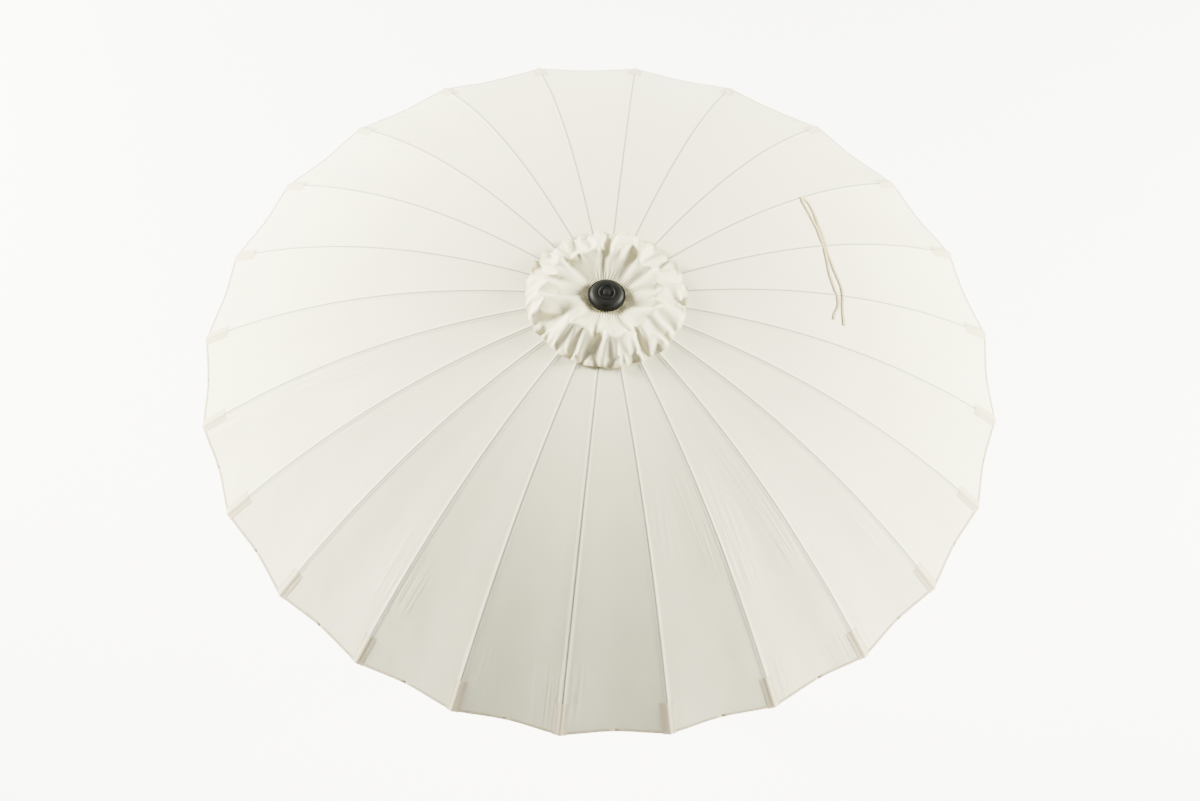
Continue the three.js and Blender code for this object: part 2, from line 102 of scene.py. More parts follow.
sky = bpy.data.worlds.new("studio")
sky.use_nodes = True
sky_light = sky.node_tree.nodes["Background"]
sky_light.inputs["Color"].default_value = (1, 0.99, 0.95, 1)
sky_light.inputs["Strength"].default_value = 0.42
bpy.context.scene.world = sky


# ---- The floor ----
# A wide white studio floor that glows a little, so that it stays white under the canopy.
# Its finish, like every other one, is a material whose values take part in plain arithmetic.

class Channel:
    """One value of a finish that changes over the surface."""

    def __init__(self, tree, socket):
        self.tree = tree
        self.socket = socket

    def math(self, operation, *values):
        node = self.tree.nodes.new("ShaderNodeMath")
        node.operation = operation
        for slot, value in zip(node.inputs, values):
            if isinstance(value, Channel):
                self.tree.links.new(value.socket, slot)
            else:
                slot.default_value = value
        return Channel(self.tree, node.outputs[0])

    def __add__(self, other):
        return self.math("ADD", self, other)

    def __radd__(self, other):
        return self.math("ADD", other, self)

    def __sub__(self, other):
        return self.math("SUBTRACT", self, other)

    def __rsub__(self, other):
        return self.math("SUBTRACT", other, self)

    def __mul__(self, other):
        return self.math("MULTIPLY", self, other)

    def __rmul__(self, other):
        return self.math("MULTIPLY", other, self)

    def __abs__(self):
        return self.math("ABSOLUTE", self)

    def sine(self):
        return self.math("SINE", self)

    def above(self, level):
        return self.math("GREATER_THAN", self, level)


class Finish:
    """A material: constants sit on its shader's own sockets, and channels are linked to them."""

    def __init__(self, name, color, roughness, metallic=0.0):
        self.material = bpy.data.materials.new(name)
        self.material.use_nodes = True
        self.tree = self.material.node_tree
        self.shader = self.tree.nodes["Principled BSDF"]
        self.set("Base Color", (*color, 1))
        self.set("Roughness", roughness)
        self.set("Metallic", metallic)
        self.material.diffuse_color = (*color, 1)

    def set(self, name, value):
        if isinstance(value, Channel):
            self.tree.links.new(value.socket, self.shader.inputs[name])
        else:
            self.shader.inputs[name].default_value = value

    def node(self, kind, settings=None, output=0, **sockets):
        """Adds any node. A socket is named, or numbered after an underscore."""
        node = self.tree.nodes.new(kind)
        for name, value in (settings or {}).items():
            setattr(node, name, value)
        for name, value in sockets.items():
            key = int(name[1:]) if name[0] == "_" and name[1:].isdigit() else name.replace("_", " ")
            if isinstance(value, Channel):
                self.tree.links.new(value.socket, node.inputs[key])
            else:
                node.inputs[key].default_value = value
        return Channel(self.tree, node.outputs[output])

    def object_place(self):
        return self.node("ShaderNodeTexCoord", output=3)

    def cloth_place(self):
        """Across and along the cloth, in metres."""
        uv = self.node("ShaderNodeUVMap", {"uv_map": "cloth"})
        split = self.tree.nodes.new("ShaderNodeSeparateXYZ")
        self.tree.links.new(uv.socket, split.inputs[0])
        return uv, Channel(self.tree, split.outputs[0]), Channel(self.tree, split.outputs[1])

    def noise(self, place, scale, detail=2.0, roughness=0.5):
        return self.node("ShaderNodeTexNoise", Vector=place, Scale=scale, Detail=detail,
                         Roughness=roughness)

    def stretch(self, place, amounts):
        return self.node("ShaderNodeMapping", Vector=place, Scale=amounts)

    def blend(self, amount, first, second):
        """A colour from first to second as amount goes from 0 to 1."""
        values = {"_0": amount}
        for key, value in (("_6", first), ("_7", second)):
            values[key] = value if isinstance(value, Channel) else (*value, 1)
        return self.node("ShaderNodeMix", {"data_type": "RGBA", "clamp_factor": True}, output=2, **values)

    def level(self, value, low, high):
        """0 below low, 1 above high, smooth between them."""
        return self.node("ShaderNodeMapRange", {"interpolation_type": "SMOOTHSTEP"},
                         _0=value, _1=low, _2=high)

    def bump(self, height, distance=1.0):
        """Raises the surface by height times distance, in metres."""
        self.set("Normal", self.node("ShaderNodeBump", Height=height, Distance=distance, Strength=1.0))


def finished_mesh(name, shape):
    """Turns a worked shape into a mesh."""
    mesh = bpy.data.meshes.new(name)
    shape.to_mesh(mesh)
    shape.free()
    return mesh


def place_object(name, mesh):
    placed = bpy.data.objects.new(name, mesh)
    bpy.context.scene.collection.objects.link(placed)
    return placed


FLOOR_HALF = 150

floor_finish = Finish("white_floor", (0.9, 0.9, 0.9), 0.8)
speckle = floor_finish.noise(floor_finish.object_place(), 3.0)
floor_finish.set("Roughness", 0.7 + speckle * 0.2)
floor_finish.set("Emission Color", (1, 1, 1, 1))
floor_finish.set("Emission Strength", 3.0)
floor_shape = bmesh.new()
bmesh.ops.create_grid(floor_shape, x_segments=1, y_segments=1, size=FLOOR_HALF)
floor = place_object("floor", finished_mesh("floor", floor_shape))
floor.data.materials.append(floor_finish.material)


# ---- The canopy's shape ----
# Polyester cloth is pulled tight over 24 bent ribs. Between two ribs it is straight, and it
# stands up a little over each rib, where the seam lies. All the cloth pieces are laid on it.

RIBS = 24
STEP = 2 * math.pi / RIBS
TIP_RADIUS = canopy_high.x
CANOPY_RISE = 0.4946                    # the hub's end of the curve over the rim
CURVE_POWER = 2.33                      # how the curve steepens towards the rim
RIM_HEIGHT = 1.930
RIDGE = 0.0024                          # the cloth stands up this far over a rib
RIDGE_WIDTH = 0.0075
SEAM_GROOVE = 0.0014                    # the seam pulls it down again along the middle
SEAM_WIDTH = 0.0024
SAG = 0.004
RIPPLES = ((9.0, 0.0016), (23.0, 0.0006))   # waves to a metre and their height, at the rim


def canopy_height(radius):
    return RIM_HEIGHT + CANOPY_RISE * (1 - (radius / TIP_RADIUS) ** CURVE_POWER)


def canopy_normal(radius, angle):
    slope = -CANOPY_RISE * CURVE_POWER / TIP_RADIUS * (radius / TIP_RADIUS) ** (CURVE_POWER - 1)
    length = math.hypot(slope, 1)
    return Vector((-slope * math.cos(angle), -slope * math.sin(angle), 1)) / length


def cloth_point(rib, radius, part, lift=0.0):
    """A point of the cloth. radius is where its row meets the rib, and part is -1 to 1 across."""
    share = abs(part)
    half = STEP / 2
    out = radius * (1 - share * math.sin(half) ** 2)
    across = radius * part * math.sin(half) * math.cos(half)
    angle = rib * STEP + math.atan2(across, out)
    reach = math.hypot(out, across)
    place = Vector((reach * math.cos(angle), reach * math.sin(angle), canopy_height(radius)))
    ridge = RIDGE * math.exp(-(across / RIDGE_WIDTH) ** 2)
    stand = ridge - SEAM_GROOVE * math.exp(-(across / SEAM_WIDTH) ** 2)
    stand -= SAG * (radius / TIP_RADIUS) * math.sin(share * math.pi / 2) ** 2
    ripple = sum(noise.noise(place * scale) * height for scale, height in RIPPLES)
    stand += ripple * (radius / TIP_RADIUS) ** 2
    return place + canopy_normal(radius, angle) * (stand + lift)


def rib_number(index):
    return f"{index % RIBS + 1:02d}"


def fold_away(piece):
    """Gives a piece a mesh of its own."""
    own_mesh(piece)


# ---- The tie tapes ----
# Two narrow woven tapes are sewn side by side to one rib and lie loose over the cloth.
# They tie the closed parasol. Each is 9 mm wide and ends cut and bare.

TAPE_WIDTH = 0.009
TAPE_THICKNESS = 0.0012
TAPE_RIB = 3
TAPE_LIFT = 0.0028                      # the tape's middle over the cloth
TAPE_PARTS = 5                          # parts between two points of a route
TAPE_WEFT = 0.0016                      # a pair of threads, along the tape and across it
TAPE_WARP = 0.0011
TAPE_ROUTES = {                         # degrees round the pole, and millimetres from it
    "tie_tape_long": [
        (45, 875), (43.8, 884), (42, 880), (39.4, 869), (36, 850), (33, 836), (30.5, 825), (28, 817),
        (24, 812), (21, 812), (18, 814), (15, 809), (12.4, 802), (9.4, 799), (6.6, 799)],
    "tie_tape_short": [
        (45, 875), (43.3, 864), (41, 855), (38.2, 846), (35.3, 836), (32.2, 822), (29, 811), (26, 801),
        (22.4, 790), (18.6, 786), (15.6, 788), (13.2, 789), (11.2, 782), (9.8, 771), (7.6, 763)],
}
# where each tape arches: the degrees of its middle, its height and its spread in degrees
CROSSINGS = {"tie_tape_long": (34.2, 0.0022, 1.5), "tie_tape_short": (45, 0.0012, 1.0)}


def linear(red, green, blue):
    """The linear colour of a screen colour from 0 to 255."""
    return tuple((channel / 255) ** 2.2 for channel in (red, green, blue))


tape_finish = Finish("cream_tape", linear(212, 198, 152), 0.8)
tape_uv, tape_across, tape_along = tape_finish.cloth_place()
tape_weft = (tape_along * (2 * math.pi / TAPE_WEFT)).sine()
tape_warp = (tape_across * (2 * math.pi / TAPE_WARP)).sine()
tape_finish.set("Base Color", tape_finish.blend(
    tape_finish.noise(tape_uv, 60.0), linear(219, 205, 160), linear(204, 188, 142)))
tape_finish.bump(tape_weft * tape_warp, 0.0003)
tape_finish.set("Specular IOR Level", 0.2)


def new_piece(name, mesh, finish, body):
    """Places a piece in its finish, on the body that it moves with."""
    piece = place_object(name, mesh)
    mesh.materials.clear()
    mesh.materials.append(finish.material)
    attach(piece, body)
    return piece


def over_cloth(degrees, radius, lift):
    """The point over the cloth at an angle round the pole and a distance from it."""
    angle = math.radians(degrees)
    rib = round(angle / STEP)
    off = angle - rib * STEP
    meeting = radius * math.cos(STEP / 2 - abs(off)) / math.cos(STEP / 2)
    part = radius * math.sin(off) / (meeting * math.sin(STEP / 2) * math.cos(STEP / 2))
    return cloth_point(rib, meeting, max(-1, min(1, part)), lift)


def smooth_route(points, parts):
    """Points of one smooth line through the given points, parts to each stretch."""
    line = []
    for index in range(len(points) - 1):
        before = points[max(index - 1, 0)]
        start, end = points[index], points[index + 1]
        after = points[min(index + 2, len(points) - 1)]
        for part in range(parts):
            t = part / parts
            line.append(0.5 * ((2 * start) + (end - before) * t
                               + (2 * before - 5 * start + 4 * end - after) * t ** 2
                               + (3 * start - before - 3 * end + after) * t ** 3))
    line.append(points[-1])
    return line


def tape_mesh(name, line):
    """A flat woven tape along a line, lying on the cloth."""
    section = [(-0.5, -0.25), (-0.4, -0.5), (0.4, -0.5), (0.5, -0.25),
               (0.5, 0.25), (0.4, 0.5), (-0.4, 0.5), (-0.5, 0.25)]
    shape = bmesh.new()
    uv = shape.loops.layers.uv.new("cloth")
    rings = []
    travel = 0.0
    marks = {}
    for index, place in enumerate(line):
        ahead = line[min(index + 1, len(line) - 1)]
        behind = line[max(index - 1, 0)]
        along = (ahead - behind).normalized()
        if index:
            travel += (place - line[index - 1]).length
        standing = canopy_normal(math.hypot(place.x, place.y), math.atan2(place.y, place.x))
        side = along.cross(standing).normalized()
        standing = side.cross(along).normalized()
        ring = []
        for across, high in section:
            vert = shape.verts.new(place + side * (across * TAPE_WIDTH)
                                   + standing * (high * TAPE_THICKNESS))
            marks[vert] = (across * TAPE_WIDTH, travel)
            ring.append(vert)
        rings.append(ring)
    for first, second in zip(rings, rings[1:]):
        for index in range(len(section)):
            beyond = (index + 1) % len(section)
            shape.faces.new((first[index], first[beyond], second[beyond], second[index]))
    shape.faces.new(reversed(rings[0]))
    shape.faces.new(rings[-1])
    for face in shape.faces:
        face.smooth = True
        for loop in face.loops:
            loop[uv].uv = marks[loop.vert]
    bmesh.ops.recalc_face_normals(shape, faces=shape.faces)
    return finished_mesh(name, shape)


for tape_name, route in TAPE_ROUTES.items():
    crossing, hump, spread = CROSSINGS[tape_name]
    places = []
    for degrees, radius in route:
        lift = TAPE_LIFT + hump * math.exp(-((degrees - crossing) / spread / 2) ** 2)
        places.append(over_cloth(degrees, radius / 1000, lift))
    tape_line = smooth_route(places, TAPE_PARTS)
    tape = new_piece(tape_name, tape_mesh(tape_name, tape_line), tape_finish,
                     f"rib_{rib_number(TAPE_RIB)}")
    length = sum((b - a).length for a, b in zip(tape_line, tape_line[1:]))
    fold_away(tape)
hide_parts("tie_tape")


# ---- The canopy cloth ----
# One sheet of cream polyester in 24 gores, sewn together along the ribs with lapped seams.
# It is made here as six bands to each rib, which meet edge to edge halfway between ribs; each
# band rides on its rib.

VENT_RADIUS = 0.120
HEM_CURVE = 0.005                       # how far the hem curves in between two ribs, as a share
CLOTH_COLUMNS = 26
CLOTH_CROWDING = 1.9                    # how closely the columns crowd towards the seam
CLOTH_ROWS = 42
CURVE_LENGTH = 1.12                     # length along the rib's curve to its level span
BAND_KEEP = (0.60, 0.40, 0.31, 0.24, 0.17, 0.10)   # each band's closed width, from the vent out
THREAD = 0.0011                         # a pair of threads in the weave
STITCH = 0.004
STITCH_ROW = 0.0055                     # the row of stitches beside the seam

cloth_finish = Finish("cream_canopy_cloth", linear(244, 242, 232), 0.85)
cloth_uv, cloth_across, cloth_along = cloth_finish.cloth_place()
seam_distance = abs(cloth_across)
# A grey line along each seam: the seam's own line, darkened with painted shade for its groove and for the
# rib under the cloth.
seam_and_painted_shade = 1 - cloth_finish.level(seam_distance, 0.0016, 0.0038)
mottle = cloth_finish.noise(cloth_finish.object_place(), 4.0, 3.0)
weft = (cloth_across * (2 * math.pi / THREAD)).sine()
warp = (cloth_along * (2 * math.pi / THREAD)).sine()
crease_place = cloth_finish.stretch(cloth_uv, (70, 3.2, 1))
creases = cloth_finish.noise(crease_place, 1.0, 3.0, 0.55)
crease_patch = cloth_finish.level(
    cloth_finish.noise(cloth_finish.object_place(), 2.3, 1.0), 0.47, 0.62)
crease_beside_seam = 1 - cloth_finish.level(seam_distance, 0.03, 0.14)
crease_area = cloth_finish.level(cloth_along, 0.45, 1.05) * crease_beside_seam
stitch_row = 1 - cloth_finish.level(abs(seam_distance - STITCH_ROW), 0.0003, 0.0009)
stitches = (cloth_along * (2 * math.pi / STITCH)).sine().above(-0.3) * stitch_row
plain_cloth = cloth_finish.blend(mottle, linear(238, 235, 202), linear(233, 229, 193))
# The cloth turns grey along each seam: partly the seam, partly painted shade of its groove and rib.
cloth_finish.set("Base Color", cloth_finish.blend(seam_and_painted_shade * 0.9, plain_cloth, linear(138, 139, 132)))
creases = creases * crease_area * crease_patch
cloth_finish.bump(weft * warp * 0.00006 + creases * 0.0036 + stitches * 0.0002)
cloth_finish.set("Sheen Weight", 0.15)
cloth_finish.set("Sheen Roughness", 0.5)


def column_part(index):
    """Where a column lies across its strip, -1 to 1: columns crowd towards the seam."""
    part = 2 * index / CLOTH_COLUMNS - 1
    return math.copysign(abs(part) ** CLOTH_CROWDING, part)


def hem_radius(radius, part):
    """Rows near the hem curve in between two ribs."""
    return radius * (1 - HEM_CURVE * math.sin(part * math.pi / 2) ** 2 * (radius / TIP_RADIUS) ** 6)


def face_up(shape):
    """Turns an open sheet's faces to the sky."""
    bmesh.ops.recalc_face_normals(shape, faces=shape.faces)
    if sum(face.normal.z for face in shape.faces) < 0:
        bmesh.ops.reverse_faces(shape, faces=shape.faces)


def cloth_strip(name, rib, low, high):
    """One rib's cloth between two shares of the way from the vent to the rim."""
    first = round(low * CLOTH_ROWS)
    last = round(high * CLOTH_ROWS)
    rows = last - first
    shape = bmesh.new()
    uv = shape.loops.layers.uv.new("cloth")
    bmesh.ops.create_grid(shape, x_segments=CLOTH_COLUMNS, y_segments=rows, size=1)
    marks = {}
    for vert in shape.verts:
        column = round((vert.co.x + 1) / 2 * CLOTH_COLUMNS)
        row = first + round((vert.co.y + 1) / 2 * rows)
        part = column_part(column)
        radius = VENT_RADIUS + (TIP_RADIUS - VENT_RADIUS) * row / CLOTH_ROWS
        vert.co = cloth_point(rib, hem_radius(radius, part), part)
        marks[vert] = (part, radius)
    for face in shape.faces:
        face.smooth = True
        for loop in face.loops:
            part, radius = marks[loop.vert]
            loop[uv].uv = (radius * part * math.sin(STEP / 2), radius)
    face_up(shape)
    places = [marks[vert] for vert in shape.verts]
    mesh = finished_mesh(name, shape)
    mesh.normals_split_custom_set_from_vertices(
        [cloth_normal(rib, radius, part) for part, radius in places])
    return mesh


def cloth_normal(rib, radius, part):
    """The cloth's true normal, so that strips meet without a line between them."""
    small = 0.0015
    wide = small / radius / math.sin(STEP / 2)
    left = cloth_across_point(rib, radius, part - wide)
    right_side = cloth_across_point(rib, radius, part + wide)
    inner = cloth_across_point(rib, radius - small, part)
    outer = cloth_across_point(rib, radius + small, part)
    return (outer - inner).cross(right_side - left).normalized()


def cloth_across_point(rib, radius, part):
    """A point of the cloth, carried over to the next rib's strip past the halfway line."""
    if abs(part) > 1:
        rib += 1 if part > 0 else -1
        part -= 2 * math.copysign(1, part)
    return cloth_point(rib, hem_radius(radius, part), part)


for rib in range(RIBS):
    for band, keep in enumerate(BAND_KEEP):
        low, high = band / len(BAND_KEEP), (band + 1) / len(BAND_KEEP)
        name = f"canopy_band_{band + 1}_{rib_number(rib)}"
        strip = new_piece(name, cloth_strip(name, rib, low, high), cloth_finish,
                          f"rib_{rib_number(rib)}")
        reach = [VENT_RADIUS + (TIP_RADIUS - VENT_RADIUS) * share for share in (low, high)]
        wide = 2 * reach[1] * math.sin(STEP / 2)
        long = (reach[1] - reach[0]) * CURVE_LENGTH
        area = wide * long * (1 + reach[0] / reach[1]) / 2
        fold_away(strip)
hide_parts("canopy")


# ---- Rib-end pockets ----
# Each rib's tip sits in a short pocket of beige webbing, folded over the hem and sewn on at its
# sides and inner end. The rib inside shows as a low ridge along its middle.

POCKET_WIDTH = 0.046
POCKET_LENGTH = 0.078
POCKET_LIFT = 0.0016
POCKET_COLUMNS = 14
POCKET_ROWS = 14
POCKET_TURN = 3                         # rows folded under the hem
POCKET_SEAM = 0.42                      # where the side seams lie, as a share of the width
POCKET_RIDGE = 0.0014                   # the rib's tip shows this far through the webbing
POCKET_RIDGE_WIDTH = 0.006
POCKET_HEM = 0.0035                     # thickness of the hem inside the fold

webbing_finish = Finish("beige_webbing", linear(224, 216, 196), 0.8)
webbing_uv, webbing_across, webbing_along = webbing_finish.cloth_place()
twill = ((webbing_across + webbing_along * 0.6) * (2 * math.pi / 0.0017)).sine()
webbing_seam = 1 - webbing_finish.level(
    abs(abs(webbing_across) - POCKET_WIDTH * POCKET_SEAM), 0.0002, 0.0009)
webbing_stitch = webbing_seam * (webbing_along * (2 * math.pi / STITCH)).sine().above(-0.2)
webbing_finish.set("Base Color", webbing_finish.blend(
    webbing_finish.noise(webbing_uv, 45.0, 3.0), linear(218, 207, 172), linear(205, 193, 156)))
webbing_finish.bump(twill * 0.0001 + webbing_stitch * 0.0004)
webbing_finish.set("Sheen Weight", 0.2)


def pocket_mesh(name, rib):
    """A flat pocket along the rib's tip, whose outer end turns down and under the hem."""
    shape = bmesh.new()
    uv = shape.loops.layers.uv.new("cloth")
    bmesh.ops.create_grid(shape, x_segments=POCKET_COLUMNS, y_segments=POCKET_ROWS, size=1)
    marks = {}
    for vert in shape.verts:
        share = vert.co.x
        row = round((vert.co.y + 1) / 2 * POCKET_ROWS)
        down = row / (POCKET_ROWS - POCKET_TURN)
        across = share * POCKET_WIDTH / 2
        radius = TIP_RADIUS - POCKET_LENGTH * (1 - min(down, 1))
        part = across / (radius * math.sin(STEP / 2) * math.cos(STEP / 2))
        edge = (1 - abs(share) ** 6) * (1 - max(0, 1 - 2 * down) ** 6)
        lift = POCKET_LIFT * (0.25 + 0.75 * edge)
        lift += POCKET_RIDGE * math.exp(-(across / POCKET_RIDGE_WIDTH) ** 2)
        place = cloth_point(rib, radius, part, lift)
        if down > 1:
            fold = (down - 1) * (POCKET_ROWS - POCKET_TURN) / POCKET_TURN
            angle = rib * STEP
            upright = canopy_normal(TIP_RADIUS, angle)
            outward = Vector((math.cos(angle) * upright.z, math.sin(angle) * upright.z,
                              -math.hypot(upright.x, upright.y)))
            thick = lift + POCKET_HEM
            turn = fold * math.pi
            place += outward * (math.sin(turn) * thick * 0.6) - upright * ((1 - math.cos(turn)) * thick)
        marks[vert] = (across, down * POCKET_LENGTH)
        vert.co = place
    for face in shape.faces:
        face.smooth = True
        for loop in face.loops:
            loop[uv].uv = marks[loop.vert]
    face_up(shape)
    return finished_mesh(name, shape)


for rib in range(RIBS):
    name = f"rib_pocket_{rib_number(rib)}"
    pocket = new_piece(name, pocket_mesh(name, rib), webbing_finish, f"rib_{rib_number(rib)}")
    fold_away(pocket)


# ---- Hem binding ----
# The cloth's edge is bound with a narrow beige tape, folded over it and sewn through. Each
# rib's cloth has its own length of it, closed at both ends.

HEM_WIDTH = 0.007
HEM_THICKNESS = 0.0012
HEM_COLUMNS = 20
HEM_CORNERS = 10

hem_finish = Finish("beige_hem_binding", linear(214, 205, 184), 0.8)
hem_uv, _, hem_along = hem_finish.cloth_place()
hem_rows = (hem_along * (2 * math.pi / 0.0018)).sine()
hem_finish.set("Base Color", hem_finish.blend(
    hem_finish.noise(hem_uv, 80.0), linear(200, 188, 156), linear(186, 174, 142)))
hem_finish.bump(hem_rows * 0.0002)


def hem_mesh(name, rib):
    """A rounded band along the hem of one strip."""
    shape = bmesh.new()
    uv = shape.loops.layers.uv.new("cloth")
    rings = []
    marks = {}
    for column in range(HEM_COLUMNS + 1):
        part = 2 * column / HEM_COLUMNS - 1
        edge = cloth_across_point(rib, TIP_RADIUS, part)
        inwards = cloth_across_point(rib, TIP_RADIUS - HEM_WIDTH, part) - edge
        standing = cloth_normal(rib, TIP_RADIUS - HEM_WIDTH, part)
        ring = []
        for corner in range(HEM_CORNERS):
            turn = 2 * math.pi * corner / HEM_CORNERS
            vert = shape.verts.new(edge + inwards * (0.5 + 0.5 * math.cos(turn))
                                   + standing * (math.sin(turn) * HEM_THICKNESS))
            marks[vert] = (math.cos(turn) * HEM_WIDTH / 2, part * TIP_RADIUS * math.sin(STEP / 2))
            ring.append(vert)
        rings.append(ring)
    for first, second in zip(rings, rings[1:]):
        for corner in range(HEM_CORNERS):
            beyond = (corner + 1) % HEM_CORNERS
            shape.faces.new((first[corner], first[beyond], second[beyond], second[corner]))
    for face in shape.faces:
        face.smooth = True
        for loop in face.loops:
            loop[uv].uv = marks[loop.vert]
    for end in (rings[0], rings[-1]):
        shape.faces.new(end)
    bmesh.ops.recalc_face_normals(shape, faces=shape.faces)
    return finished_mesh(name, shape)


for rib in range(RIBS):
    name = f"hem_{rib_number(rib)}"
    hem = new_piece(name, hem_mesh(name, rib), hem_finish, f"rib_{rib_number(rib)}")
    fold_away(hem)


# ---- The vent cap ----
# A round of softer cream cloth covers the vent. It is cut too large, gathered in tight pleats
# under the finial, and drawn in at its edge by a sewn-in elastic, so it stands in folds.
# It is simulated whole, then parted along the gores and once round, to fold with the ribs.

CAP_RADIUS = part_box("vent_cap")[1][0]
CAP_INNER = 0.048                       # radius of the gathered middle, under the finial
CAP_COLUMNS_PER_RIB = 10
CAP_COLUMNS = RIBS * CAP_COLUMNS_PER_RIB
CAP_ROWS = 30
CAP_INNER_ROWS = 12                     # rows of the inner ring of pieces
CAP_HELD_ROWS = 3                       # rows that the finial holds still
CAP_EDGE = CAP_RADIUS - 0.008
CAP_DISH_LIFT = 0.0085                  # the cloth's height over the canopy, at the finial
CAP_CREST_LIFT = 0.030                  # and at its crest
CAP_CREST_RADIUS = 0.168
CAP_CREST_SWAY = 0.034                  # how far the crest wanders in and out
CAP_EDGE_LIFT = 0.005
CAP_FOLDS = 7                           # broad folds, all round
CAP_FOLD_LIFT = 0.010
CAP_RUFFLES = 23                        # waves of the edge, all round
CAP_RUFFLE_LIFT = 0.0055
CAP_RUFFLE_REACH = 0.010
CAP_SPARE = 0.07                        # how much the cloth grows as it settles
CAP_CUT = 1.20                          # how much too large the cloth is cut, each way
CAP_FRAMES = 40


def cap_base(angle, share):
    """The cap before it settles: a dish round the finial, a wandering crest, and down to its edge."""
    around = Vector((math.cos(angle), math.sin(angle), 0))
    radius = CAP_INNER + (CAP_EDGE - CAP_INNER) * share
    wander = noise.noise(around * 2.3 + Vector((4.2, 1.3, 0.4)))
    flutter = noise.noise(around * 6.0 + Vector((1.1, 7.3, 2.4)))
    crest_radius = CAP_CREST_RADIUS + CAP_CREST_SWAY * (2.2 * wander + flutter)
    crest_lift = CAP_CREST_LIFT * (1 + 0.5 * noise.noise(around * 3.1 + Vector((0, 0, 9.2))))
    if radius < crest_radius:
        rise = (radius - CAP_INNER) / (crest_radius - CAP_INNER)
        lift = CAP_DISH_LIFT + (crest_lift - CAP_DISH_LIFT) * rise ** 3
    else:
        fall = (radius - crest_radius) / (CAP_EDGE - crest_radius)
        lift = crest_lift + (CAP_EDGE_LIFT - crest_lift) * fall ** 1.2
    fold_drift = noise.noise(around * 1.7 + Vector((2.5, 0, share * 0.7)))
    folds = math.sin(angle * CAP_FOLDS + 6 * fold_drift)
    lift += CAP_FOLD_LIFT * folds * (1 + wander) * math.sin(math.pi * share ** 1.5) ** 1.5
    ruffle = math.sin(angle * CAP_RUFFLES + 5 * noise.noise(around * 2.7)) * share ** 5
    lift += CAP_RUFFLE_LIFT * (ruffle + share ** 5) * (1 + 1.2 * flutter)
    radius += CAP_RUFFLE_REACH * (flutter + 0.4 * ruffle) * share ** 5
    return around * radius + Vector((0, 0, canopy_height(radius) + lift))


def cap_ring_mesh():
    """The whole cloth as a grid of rings. Each face is marked with the gore that it belongs to."""
    shape = bmesh.new()
    gore = shape.faces.layers.int.new("gore")
    uv = shape.loops.layers.uv.new("cloth")
    rings = []
    angles = [STEP * (column + 0.5) / CAP_COLUMNS_PER_RIB for column in range(CAP_COLUMNS)]
    for row in range(CAP_ROWS + 1):
        rings.append([shape.verts.new(cap_base(angle, row / CAP_ROWS)) for angle in angles])
    for row in range(CAP_ROWS):
        for column in range(CAP_COLUMNS):
            beyond = (column + 1) % CAP_COLUMNS
            face = shape.faces.new((rings[row][column], rings[row + 1][column],
                                    rings[row + 1][beyond], rings[row][beyond]))
            face.smooth = True
            ring = 0 if row < CAP_INNER_ROWS else 1
            rib = math.floor((column + 1) / CAP_COLUMNS_PER_RIB + 0.5) % RIBS
            face[gore] = rib + ring * RIBS
            corners = ((column, row), (column, row + 1), (column + 1, row + 1), (column + 1, row))
            for loop, (step, along) in zip(face.loops, corners):
                loop[uv].uv = (step / CAP_COLUMNS * 2 * math.pi * CAP_RADIUS, along / CAP_ROWS)
    return finished_mesh("cap_whole", shape)


def gather_cap(cap):
    """Lets the oversized cloth settle between its gathered middle and its drawn-in edge."""
    pins = cap.vertex_groups.new(name="held")
    pins.add(list(range(CAP_HELD_ROWS * CAP_COLUMNS)), 1.0, "REPLACE")
    pins.add(list(range(CAP_ROWS * CAP_COLUMNS, (CAP_ROWS + 1) * CAP_COLUMNS)), 1.0, "REPLACE")
    cloth = cap.modifiers.new("cloth", "CLOTH")
    cloth.settings.quality = 6
    cloth.settings.mass = 0.15
    cloth.settings.tension_stiffness = 12
    cloth.settings.compression_stiffness = 12
    cloth.settings.shear_stiffness = 4
    cloth.settings.bending_stiffness = 7
    cloth.settings.air_damping = 4
    cloth.settings.shrink_min = -CAP_SPARE
    cloth.settings.vertex_group_mass = "held"
    cloth.settings.use_pressure = True
    cloth.settings.uniform_pressure_force = 0.3
    cloth.settings.effector_weights.gravity = 0
    cloth.collision_settings.use_collision = True
    cloth.collision_settings.distance_min = 0.003
    cloth.collision_settings.collision_quality = 2
    cloth.point_cache.frame_start = 1
    cloth.point_cache.frame_end = CAP_FRAMES
    scene = bpy.context.scene
    for step in range(1, CAP_FRAMES + 1):
        scene.frame_set(step)
    depsgraph = bpy.context.evaluated_depsgraph_get()
    settled = bpy.data.meshes.new_from_object(cap.evaluated_get(depsgraph))
    cap.modifiers.remove(cloth)
    cap.data = settled
    scene.frame_set(1)


def canopy_top_mesh():
    """The canopy's middle, for the settling cloth to rest on."""
    profile = [(radius / 100, canopy_height(radius / 100) + 0.002) for radius in range(3, 32, 2)]
    shape = bmesh.new()
    line = [shape.verts.new((radius, 0, height)) for radius, height in profile]
    edges = [shape.edges.new(pair) for pair in zip(line, line[1:])]
    bmesh.ops.spin(shape, geom=line + edges, cent=(0, 0, 0), axis=(0, 0, 1), angle=2 * math.pi,
                   steps=RIBS * 2, use_merge=True)
    bmesh.ops.recalc_face_normals(shape, faces=shape.faces)
    return finished_mesh("canopy_top", shape)


cap_whole = place_object("cap_whole", cap_ring_mesh())
rest = place_object("canopy_top", canopy_top_mesh())
rest.modifiers.new("collision", "COLLISION")
rest.collision.thickness_outer = 0.002
gather_cap(cap_whole)
bpy.data.objects.remove(rest)

